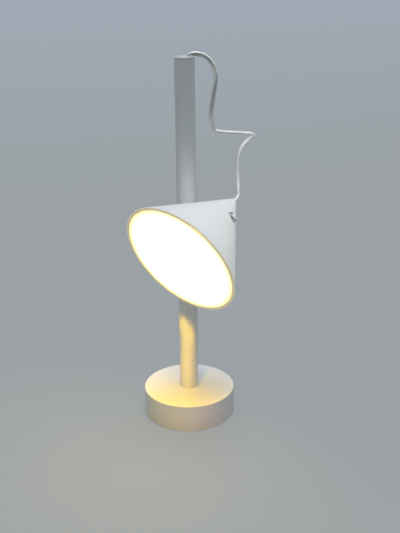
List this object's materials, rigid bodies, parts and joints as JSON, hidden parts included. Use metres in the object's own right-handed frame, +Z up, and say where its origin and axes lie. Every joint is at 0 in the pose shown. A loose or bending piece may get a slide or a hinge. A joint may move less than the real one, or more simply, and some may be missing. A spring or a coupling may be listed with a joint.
{
  "type": "table lamp",
  "caption": "Table lamp with a drum base, a round post and a conical head that slides, turns and tilts on the post, fed by a loose flat flex.",
  "frame": {"origin": "centre of the foot pad's lower face, on the post's axis", "axes": "+Z up along the post; -Y is the side of the post that carries the head"},
  "size_m": [0.1803, 0.2134, 0.4872],
  "materials": {
    "white_paint": "smooth satin white powder coat",
    "white_plastic": "satin white moulding",
    "rim_paint": "warm white painted ring",
    "opal": "opal acrylic, evenly lit from behind",
    "flex": "smooth white sheath",
    "nylon": "natural white nylon",
    "rubber": "light grey moulded rubber",
    "iron": "raw casting",
    "steel": "zinc plated",
    "switch_metal": "satin nickel",
    "sink": "plain",
    "reflector": "matte white",
    "circuit": "solder mask",
    "component": "moulded black",
    "terminal": "moulded white",
    "emitter": "phosphor yellow"
  },
  "bodies": {
    "root": {"foot_pad": "rubber", "base_plate": "steel", "plate_screws": "steel", "base_shell": "white_paint", "base_weight": "iron", "lead_gland": "rubber", "driver_board": "circuit", "board_spacers": "nylon", "driver_transformer": "component", "driver_capacitors": "component", "driver_terminal": "terminal", "post_tube": "white_paint", "post_foot": "steel", "post_stud": "steel", "post_washer": "steel", "post_nut": "steel", "inner_flex": "flex"},
    "cap": {"post_cap": "white_paint", "cap_grommet": "rubber", "cap_flex": "flex", "flex_cord": "flex"},
    "collar": {"collar": "white_paint", "slider_bush": "nylon", "bush_clip": "nylon", "pivot_stud": "steel", "pivot_nut": "steel"},
    "head": {"pivot_pad": "nylon", "pivot_backing": "steel", "pivot_washer": "steel", "shade_cone": "white_paint", "tip_gland": "white_plastic", "tip_nut": "steel", "heat_sink": "sink", "head_terminal": "terminal", "head_flex": "flex", "led_board": "sink", "leds": "emitter", "led_screws": "steel", "reflector": "reflector", "diffuser": "opal", "diffuser_ring": "rim_paint", "switch_body": "switch_metal", "switch_bezel": "switch_metal", "switch_nut": "steel"},
    "button": {"switch_button": "switch_metal"}
  },
  "joints": [
    {"name": "head_swivel", "type": "hinge", "parent": "root", "child": "cap", "pos_m": [0, 0, 0.482], "axis": [0, 0, 1], "range_deg": [-170, 170]},
    {"name": "head_slide", "type": "slide", "parent": "cap", "child": "collar", "axis": [0, 0, 1], "range_m": [-0.1, 0.05], "deforming": ["flex_cord"]},
    {"name": "head_tilt", "type": "hinge", "parent": "collar", "child": "head", "pos_m": [0, -0.0165, 0.2697], "axis": [0, -1, 0], "range_deg": [-60, 45], "deforming": ["flex_cord"]},
    {"name": "switch_press", "type": "slide", "parent": "head", "child": "button", "axis": [-0.7859, 0.4099, -0.4629], "range_m": [0, 0.0012], "stiffness_N_per_m": 800, "springref_m": -0.001}
  ]
}
